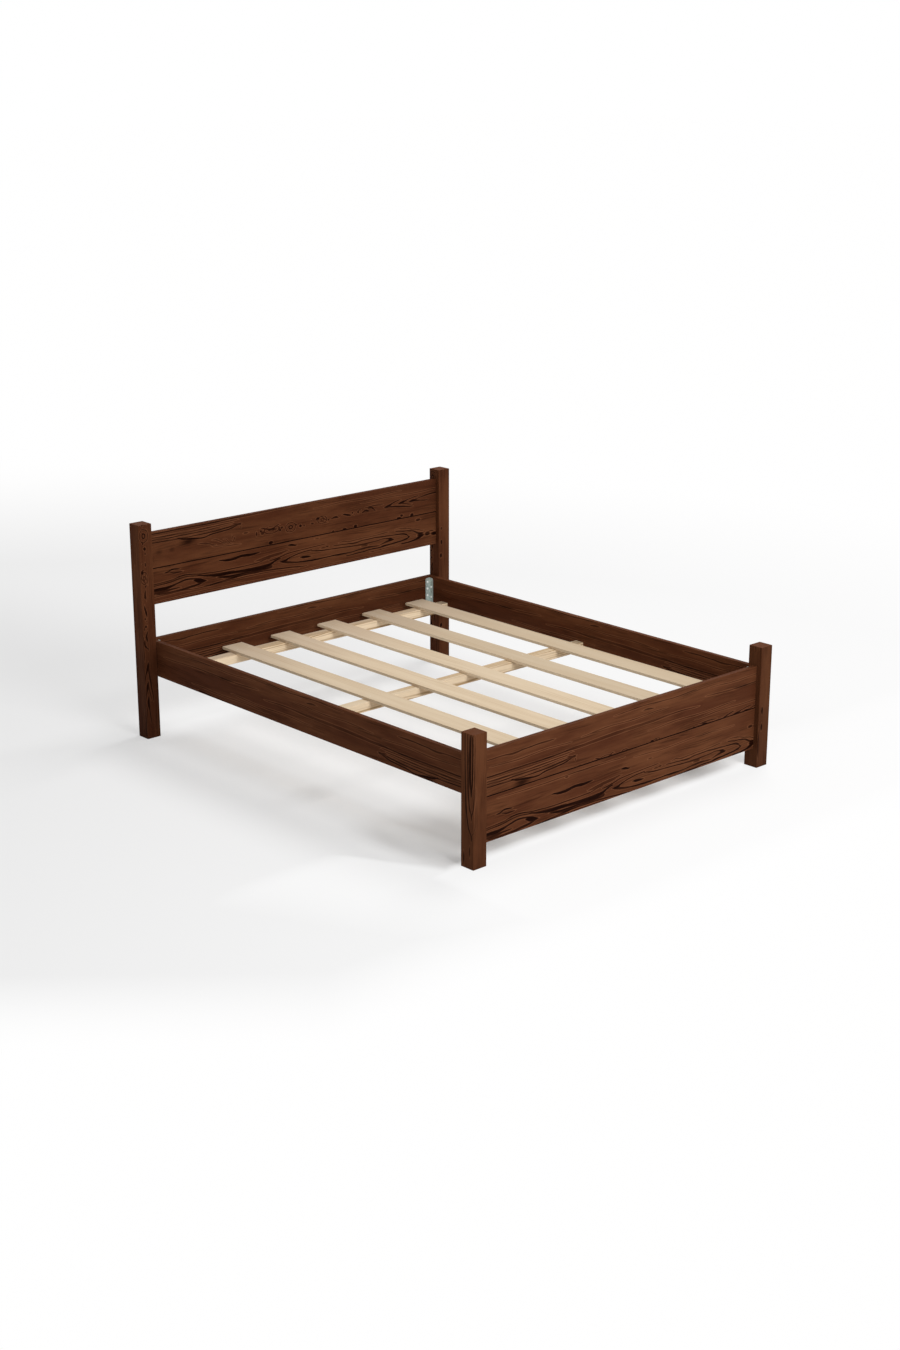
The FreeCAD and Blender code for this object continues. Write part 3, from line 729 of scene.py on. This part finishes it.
# Waves in a metre, along and across the grain: of the fibres, of the clouds of
# lighter wood, of the lines' wandering, and of the places where they are strong
PINE_FIBRE_WAVES = (6, 500)
PINE_CLOUD_WAVES = (2.5, 20)
LINE_WANDER_WAVES = (0.9, 9)
LINE_PLACE_WAVES = (1.3, 25)

# Fibres: from which value of their noise they darken, and how much; and the
# values between which the wood goes from its least to its most rough
FIBRE_START = 0.4
PINE_FIBRES = 0.5
ROUGH_FIBRES = (0.2, 0.8)
PINE_ROUGHNESS = (0.6, 0.75)

# How much the plain wood shines, and the strength and depth of its relief
PINE_SHINE = 0.1
PINE_RELIEF = (0.1, 0.0005)

# Each board has its own layer of the noises
BOARD_LAYERS = 3
FIRST_BAR_LAYER = 30.0


def plain_pine(name, along_axis, layer, tints, lines):
    """Planed pine without a finish, with painted shade towards the head end, and upright faces
    painted lighter or darker than flat ones.
    """
    material, graph = new_material(name)
    tint, upright_painted_shading = tints
    line_strength, line_pitch = lines
    x, y, z = graph.parts(object_place(graph))
    along, across = (y, x + z) if along_axis == "Y" else (x, y + z)

    def noise(waves_along, waves_across, shift=0.0, **texture):
        """Noise with about so many waves in a metre."""
        place = graph.vector(along * waves_along, across * waves_across, layer + shift)
        return graph.noise(place, **texture)

    fibres = noise(*PINE_FIBRE_WAVES, detail=3.0, roughness=0.6)
    cloud = noise(*PINE_CLOUD_WAVES, shift=5.0, detail=3.0)
    wander = noise(*LINE_WANDER_WAVES, shift=9.0) * LINE_WANDER
    ring_place = across * MM / line_pitch + wander
    ring_line = graph.lines(ring_place, *LINE_EDGE)
    ring_strength = graph.smooth(noise(*LINE_PLACE_WAVES, shift=2.0), *LINE_PLACES)
    # A board's tint is partly its own tone and partly painted shade
    flat = graph.mix(cloud, shade(PINE_MIDDLE, tint), shade(PINE_LIGHT, tint))
    # Painted shade: flat faces turn darker and greyer towards the head end
    flat = graph.mix(graph.smooth(y, *HEAD_SHADE_PLACES, 0, HEAD_SHADE_SHARE), flat, shade(PINE_HEAD_SHADE, tint))
    # Painted light and shade: upright faces have their own tint, lighter or darker than the flat
    # faces
    upright = graph.mix(cloud, shade(PINE_MIDDLE, upright_painted_shading), shade(PINE_LIGHT, upright_painted_shading))
    wood = graph.mix(graph.smooth(normal_rise(graph), *UPRIGHT_FACE), flat, upright)
    marks = ring_line * ring_strength * line_strength + (fibres - FIBRE_START) * PINE_FIBRES
    normal = relief(graph, fibres, *PINE_RELIEF)
    surface(
        graph, Base_Color=graph.mix(marks, wood, PINE_LINE),
        Roughness=graph.smooth(fibres, *ROUGH_FIBRES, *PINE_ROUGHNESS),
        Normal=normal, IOR=WOOD_IOR, Specular_IOR_Level=PINE_SHINE,
    )
    return material


for index, tints in enumerate(SLAT_TONES_AND_PAINTED_SHADING):
    name = f"slat_{index + 1}"
    paint(name, plain_pine(f"{name}_pine", "Y", float(BOARD_LAYERS * index), tints, SLAT_LINES))
for index, tints in enumerate(BAR_TONES_AND_PAINTED_SHADING):
    name = f"cross_bar_{index + 1}"
    layer = FIRST_BAR_LAYER + BOARD_LAYERS * index
    paint(name, plain_pine(f"{name}_pine", "X", layer, tints, BAR_LINES))


# Dull zinc of the brackets and bright steel of the screws and nails: darkest
# and lightest colour, size of their patterns in waves a metre, roughness, and
# how metallic they are
ZINC_COLOURS = ((0.40, 0.48, 0.46, 1), (0.62, 0.70, 0.67, 1))
ZINC_CLOUDS = 90.0
ZINC_SPANGLES = 260.0
SPANGLE_RANGE = (0.0, 0.6)
ZINC_ROUGHNESS = (0.38, 0.55)
ZINC_METAL = 0.6
STEEL_COLOURS = ((0.90, 0.92, 0.90, 1), (0.97, 0.97, 0.96, 1))
STEEL_WEAR = 900.0
WEAR_RANGE = (0.3, 0.7)
STEEL_ROUGHNESS = (0.2, 0.35)
STEEL_METAL = 0.1


def zinc():
    """Dull galvanised sheet."""
    material, graph = new_material("zinc")
    place = object_place(graph)
    spangle = graph.value("ShaderNodeTexVoronoi", {"Vector": place, "Scale": ZINC_SPANGLES})
    cloud = graph.noise(place, ZINC_CLOUDS, detail=3.0)
    surface(
        graph, Base_Color=graph.mix(cloud, *ZINC_COLOURS), Metallic=ZINC_METAL,
        Roughness=graph.smooth(spangle, *SPANGLE_RANGE, *ZINC_ROUGHNESS),
    )
    return material


def bright_steel():
    """Bright zinc of screws, a little worn."""
    material, graph = new_material("bright_steel")
    wear = graph.noise(object_place(graph), STEEL_WEAR, detail=3.0)
    surface(
        graph, Base_Color=graph.mix(wear, *STEEL_COLOURS), Metallic=STEEL_METAL,
        Roughness=graph.smooth(wear, *WEAR_RANGE, *STEEL_ROUGHNESS),
    )
    return material


zinc_material = zinc()
for node_name in nodes:
    if "bracket" in node_name:
        paint(node_name, zinc_material)


# Heads of the screws and nails: radius, corners of their outline, and the
# rings of their form from the bottom up, each with its radius and height as
# shares of the head's radius
SCREW_RADIUS = 0.0054
SCREW_CORNERS = 20
SCREW_TOP = 0.53
SCREW_RINGS = ((1, 0), (1, 0.12), (0.93, 0.32), (0.76, 0.46), (0.58, SCREW_TOP))
NAIL_RADIUS = 0.0016
NAIL_CORNERS = 12
NAIL_RINGS = ((1, -0.2), (1, 0.06), (0.7, 0.14))

# Cross recess, in the same shares: half the width and the reach of an arm, and
# the size and height of its upper and lower outline
CROSS_ARM = 0.13
CROSS_REACH = 0.46
CROSS_OUTLINES = ((1, SCREW_TOP), (0.6, 0.12))

# How far each screw is turned on from the one before it, in radians
TWIST = 0.7

# The brackets' sheet, their holes' distance from the heel and from the end,
# how many holes the corner brackets' leaves have across the bed and along it,
# and which of the latter have a screw
BRACKET_SHEET = 0.002
HOLE_INSET = 0.014
HOLE_END = 0.0205
HOLES_ACROSS = 4
HOLES_ALONG = 5
SCREWED_ALONG = (1, 3)

# Where the nails are, as shares of a slat's width
NAIL_SHARES = (0.2, 0.8)


def skin(form, rings):
    """Faces between rings that have equally many points."""
    for lower, upper in zip(rings, rings[1:]):
        for index in range(len(lower)):
            form.faces.new((lower[index - 1], lower[index], upper[index], upper[index - 1]))


def turned(form, radius, shares, corners):
    """Round sides of a head. Returns its highest ring."""
    angles = [2 * math.pi * index / corners for index in range(corners)]
    rings = [
        [
            form.verts.new((
                radius * share * math.cos(angle), radius * share * math.sin(angle), radius * height,
            ))
            for angle in angles
        ]
        for share, height in shares
    ]
    skin(form, rings)
    return rings[-1]


def screw_form():
    """Pan head with a cross recess, standing on its own origin."""
    form = bmesh.new()
    top = turned(form, SCREW_RADIUS, SCREW_RINGS, SCREW_CORNERS)
    corners = ((CROSS_ARM, -CROSS_REACH), (CROSS_ARM, -CROSS_ARM), (CROSS_REACH, -CROSS_ARM))
    outline = [
        Matrix.Rotation(math.pi / 2 * quarter, 2) @ Vector(corner)
        for quarter in range(4) for corner in corners
    ]
    upper, lower = (
        [
            form.verts.new((*(SCREW_RADIUS * size * point), SCREW_RADIUS * height))
            for point in outline
        ]
        for size, height in CROSS_OUTLINES
    )
    skin(form, (upper, lower))
    form.faces.new(lower)
    edges = [
        form.edges.get((loop[index - 1], loop[index]))
        for loop in (top, upper) for index in range(len(loop))
    ]
    bmesh.ops.triangle_fill(
        form, use_beauty=True, use_dissolve=False, edges=edges, normal=(0, 0, 1)
    )
    return form


def nail_form():
    """Low round head, standing on its own origin."""
    form = bmesh.new()
    form.faces.new(turned(form, NAIL_RADIUS, NAIL_RINGS, NAIL_CORNERS))
    return form


def fasteners(name, form, places, material):
    """One piece made of copies of a form. A place has a point and a way out."""
    whole = bmesh.new()
    for index, (point, out) in enumerate(places):
        copy = form.copy()
        turn = Vector(out).to_track_quat("Z", "Y").to_matrix().to_4x4()
        twist = Matrix.Rotation(index * TWIST, 4, "Z")
        copy.transform(Matrix.Translation(point) @ turn @ twist)
        part = bpy.data.meshes.new("part")
        copy.to_mesh(part)
        copy.free()
        whole.from_mesh(part)
        bpy.data.meshes.remove(part)
    bmesh.ops.recalc_face_normals(whole, faces=whole.faces)
    mesh = bpy.data.meshes.new(name)
    whole.to_mesh(mesh)
    whole.free()
    mesh.materials.append(material)
    piece = bpy.data.objects.new(name, mesh)
    bpy.context.scene.collection.objects.link(piece)
    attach(piece, "root")


def screws(steel):
    """Screws in the brackets: in every hole of the leaf across the bed, and in
    some of the leaf along it. A bar bracket has one hole in each leaf."""
    form = screw_form()
    for name in sorted(nodes):
        if "bracket" not in name:
            continue
        low, high = (Vector(corner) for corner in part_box(name))
        side = math.copysign(1, low.x)
        corner = name.startswith("corner")
        end = math.copysign(1, low.y) if corner else -1
        heel_x = high.x if side > 0 else low.x
        heel_y = high.y if end > 0 else low.y
        leaf_x, leaf_y = heel_x - side * HOLE_INSET, heel_y - end * HOLE_INSET
        face_x, face_y = heel_x - side * BRACKET_SHEET, heel_y - end * BRACKET_SHEET
        if corner:
            first = low.z + HOLE_END
            span = high.z - low.z - 2 * HOLE_END
            across = [first + span * index / (HOLES_ACROSS - 1) for index in range(HOLES_ACROSS)]
            along = [first + span * index / (HOLES_ALONG - 1) for index in SCREWED_ALONG]
        else:
            across = along = [(low.z + high.z) / 2]
        places = [((leaf_x, face_y, z), (0, -end, 0)) for z in across]
        places += [((face_x, leaf_y, z), (-side, 0, 0)) for z in along]
        fasteners(f"screws_{name}", form, places, steel)
    form.free()


def nails(steel):
    """Two small nails where a slat crosses a bar."""
    form = nail_form()
    for slat in range(1, len(SLAT_TONES_AND_PAINTED_SHADING) + 1):
        low, high = (Vector(corner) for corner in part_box(f"slat_{slat}"))
        places = []
        for bar in range(1, len(BAR_TONES_AND_PAINTED_SHADING) + 1):
            bar_low, bar_high = (Vector(corner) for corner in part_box(f"cross_bar_{bar}"))
            middle = (bar_low.y + bar_high.y) / 2
            for share in NAIL_SHARES:
                places.append(((low.x + (high.x - low.x) * share, middle, high.z), (0, 0, 1)))
        fasteners(f"nails_slat_{slat}", form, places, steel)
    form.free()


steel = bright_steel()
screws(steel)
nails(steel)


# The floor: half its side, its height just under the posts, its own colour,
# and the white that the camera sees instead where the floor is lifted
FLOOR_HALF = 60
FLOOR_HEIGHT = -0.0005
FLOOR_COLOUR = (0.86, 0.86, 0.86, 1)
FLOOR_WHITE = (1, 0.998, 0.998, 1)

# Zones in which the camera sees a share of plain white in the floor. A pair
# gives the distance in metres, or the x or y, where a zone begins and where it
# is full. A slant is how much the other direction counts.
FAR, FAR_SLANT = (-1, 8), 0.5
FRONT = (-1.0, -1.75)
CORNER, CORNER_SLANT = (-1.75, -2.7), (0.66, 0.75)

# In front of the footboard. At the right it begins nearer to the head.
FOOT_LIFT = 0.8
FOOT_END, FOOT_STARTS, FOOT_TURN = -1.0, (-0.92, -0.3), (0.85, 1.2)
FOOT_LEFT = (-1.2, -0.95)

# Beside the near rail, at its foot end
SIDE_LIFT, SIDE_SLANT = 0.68, 0.5
SIDE_INNER, SIDE_OUTER, SIDE_FRONT = (-1.33, -1.43), (-2.6, -1.7), (-0.38, -0.68)

# Round the bed, with lighter zones under it, to the right of it and behind the
# headboard, and darker ones under the near rail and the footboard
NEAR_LIFT = 0.42
INSIDE_LIFT, INSIDE_X, INSIDE_Y = 0.18, (0.85, 0.55), (1.05, 0.75)
RIGHT_LIFT, RIGHT, RIGHT_SLANT = 0.2, (0.2, 1.6), 0.35
HEAD_LIFT, HEAD_MIDDLE, HEAD_X, HEAD_Y = 0.3, (-0.5, 1.08), (0.4, 0.15), (0.3, 0.05)
RAIL_SHADE, RAIL_MIDDLE, RAIL_X, RAIL_Y = 0.25, -0.78, (0.12, 0.0), (1.0, 0.8)
BOARD_SHADE, BOARD_MIDDLE, BOARD_X, BOARD_Y = 0.5, -0.9, (0.95, 0.8), (0.1, 0.02)
POST_SHADE, POST_OUTER, POST_INNER, POST_Y = 0.36, (-1.0, -0.88), (-0.2, -0.5), (-0.3, -0.68)


def background_ray(graph):
    """1 for a ray of the camera, or one that a mirror or glass sends on."""
    rays = graph.node("ShaderNodeLightPath").outputs
    seen = Value(graph, rays["Is Camera Ray"])
    for name in ("Is Glossy Ray", "Is Transmission Ray"):
        seen = graph.math("MAXIMUM", seen, rays[name])
    return seen


def near_lift(graph, x, y):
    """Share of plain white in the floor under the bed and round it."""
    inside = graph.smooth(abs(x), *INSIDE_X) * graph.smooth(abs(y), *INSIDE_Y)
    right = graph.smooth(x + y * RIGHT_SLANT, *RIGHT)
    head_x, head_y = (abs(part - middle) for part, middle in zip((x, y), HEAD_MIDDLE))
    head = graph.smooth(head_y, *HEAD_Y) * graph.smooth(head_x, *HEAD_X)
    rail = graph.smooth(abs(x - RAIL_MIDDLE), *RAIL_X) * graph.smooth(abs(y), *RAIL_Y)
    board = graph.smooth(abs(y - BOARD_MIDDLE), *BOARD_Y) * graph.smooth(abs(x), *BOARD_X)
    post = graph.smooth(x, *POST_OUTER) * graph.smooth(x, *POST_INNER) * graph.smooth(y, *POST_Y)
    lifted = inside * INSIDE_LIFT + right * RIGHT_LIFT + head * HEAD_LIFT
    return lifted - rail * RAIL_SHADE - board * BOARD_SHADE - post * POST_SHADE + NEAR_LIFT


def floor_lift(graph, x, y):
    """Share of plain white that the camera sees in the floor."""
    radius = graph.math("SQRT", x * x + y * y)
    far = graph.smooth(radius + x * FAR_SLANT, *FAR)
    foot_start = graph.smooth(x, *FOOT_TURN, *FOOT_STARTS)
    foot = graph.smooth(y, foot_start, FOOT_END, 0, FOOT_LIFT) * graph.smooth(x, *FOOT_LEFT)
    front = graph.smooth(y, *FRONT)
    corner = graph.smooth(x * CORNER_SLANT[0] + y * CORNER_SLANT[1], *CORNER)
    beside = x + y * SIDE_SLANT
    side = graph.smooth(beside, *SIDE_INNER, 0, SIDE_LIFT) * graph.smooth(beside, *SIDE_OUTER)
    side = side * graph.smooth(y, *SIDE_FRONT)
    return strongest(graph, iter((far, near_lift(graph, x, y), foot, front, corner, side)))


def floor_material():
    """White floor. Far from the bed the camera sees it as plain white, and
    under the bed its shadow is lighter than the lamps alone would leave it."""
    material, graph = new_material("studio_floor")
    matt = graph.node("ShaderNodeBsdfDiffuse", {"Color": FLOOR_COLOUR})
    white = graph.node("ShaderNodeEmission", {"Color": FLOOR_WHITE})
    lift = floor_lift(graph, *graph.parts(object_place(graph))[:2])
    both = graph.node("ShaderNodeMixShader", {
        0: lift * background_ray(graph), 1: matt.outputs[0], 2: white.outputs[0],
    })
    graph.node("ShaderNodeOutputMaterial", {"Surface": both.outputs[0]})
    return material


def lamp(name, place, size, level):
    """Soft disk lamp. Level is how bright it makes a white surface that faces it."""
    place = Vector(place)
    way = place - LAMP_TARGET
    data = bpy.data.lights.new(name, "AREA")
    data.shape = "DISK"
    data.size = size
    data.energy = level * math.pi ** 2 * way.length_squared
    made = bpy.data.objects.new(name, data)
    made.location = place
    made.rotation_euler = way.to_track_quat("Z", "Y").to_euler()
    bpy.context.scene.collection.objects.link(made)


def studio():
    """White floor, faint even light all round, and soft lamps."""
    mesh = bpy.data.meshes.new("floor")
    corners = [
        (x * FLOOR_HALF, y * FLOOR_HALF, FLOOR_HEIGHT)
        for x, y in ((-1, -1), (1, -1), (1, 1), (-1, 1))
    ]
    mesh.from_pydata(corners, [], [(0, 1, 2, 3)])
    mesh.materials.append(floor_material())
    floor = bpy.data.objects.new("floor", mesh)
    bpy.context.scene.collection.objects.link(floor)

    world = bpy.data.worlds.new("studio")
    bpy.context.scene.world = world
    world.use_nodes = True
    world.node_tree.nodes.clear()
    graph = Graph(world.node_tree)
    strength = background_ray(graph) * (1 - WORLD_LEVEL) + WORLD_LEVEL
    background = graph.node("ShaderNodeBackground", {"Color": (1, 1, 1, 1), "Strength": strength})
    graph.node("ShaderNodeOutputWorld", {"Surface": background.outputs[0]})

    for settings in LAMPS:
        lamp(*settings)


def camera():
    """Camera at the photograph's place, with its angle of view."""
    data = bpy.data.cameras.new("camera")
    data.sensor_width = SENSOR
    data.lens = FOCAL_PIXELS * SENSOR / IMAGE_LONG_SIDE
    data.clip_end = CAMERA_REACH
    made = bpy.data.objects.new("camera", data)
    made.location = CAMERA_PLACE
    made.rotation_euler = (math.pi / 2 - CAMERA_TILT, 0, -CAMERA_TURN)
    bpy.context.scene.collection.objects.link(made)
    bpy.context.scene.camera = made


studio()
camera()
bpy.context.scene.view_settings.view_transform = "Standard"
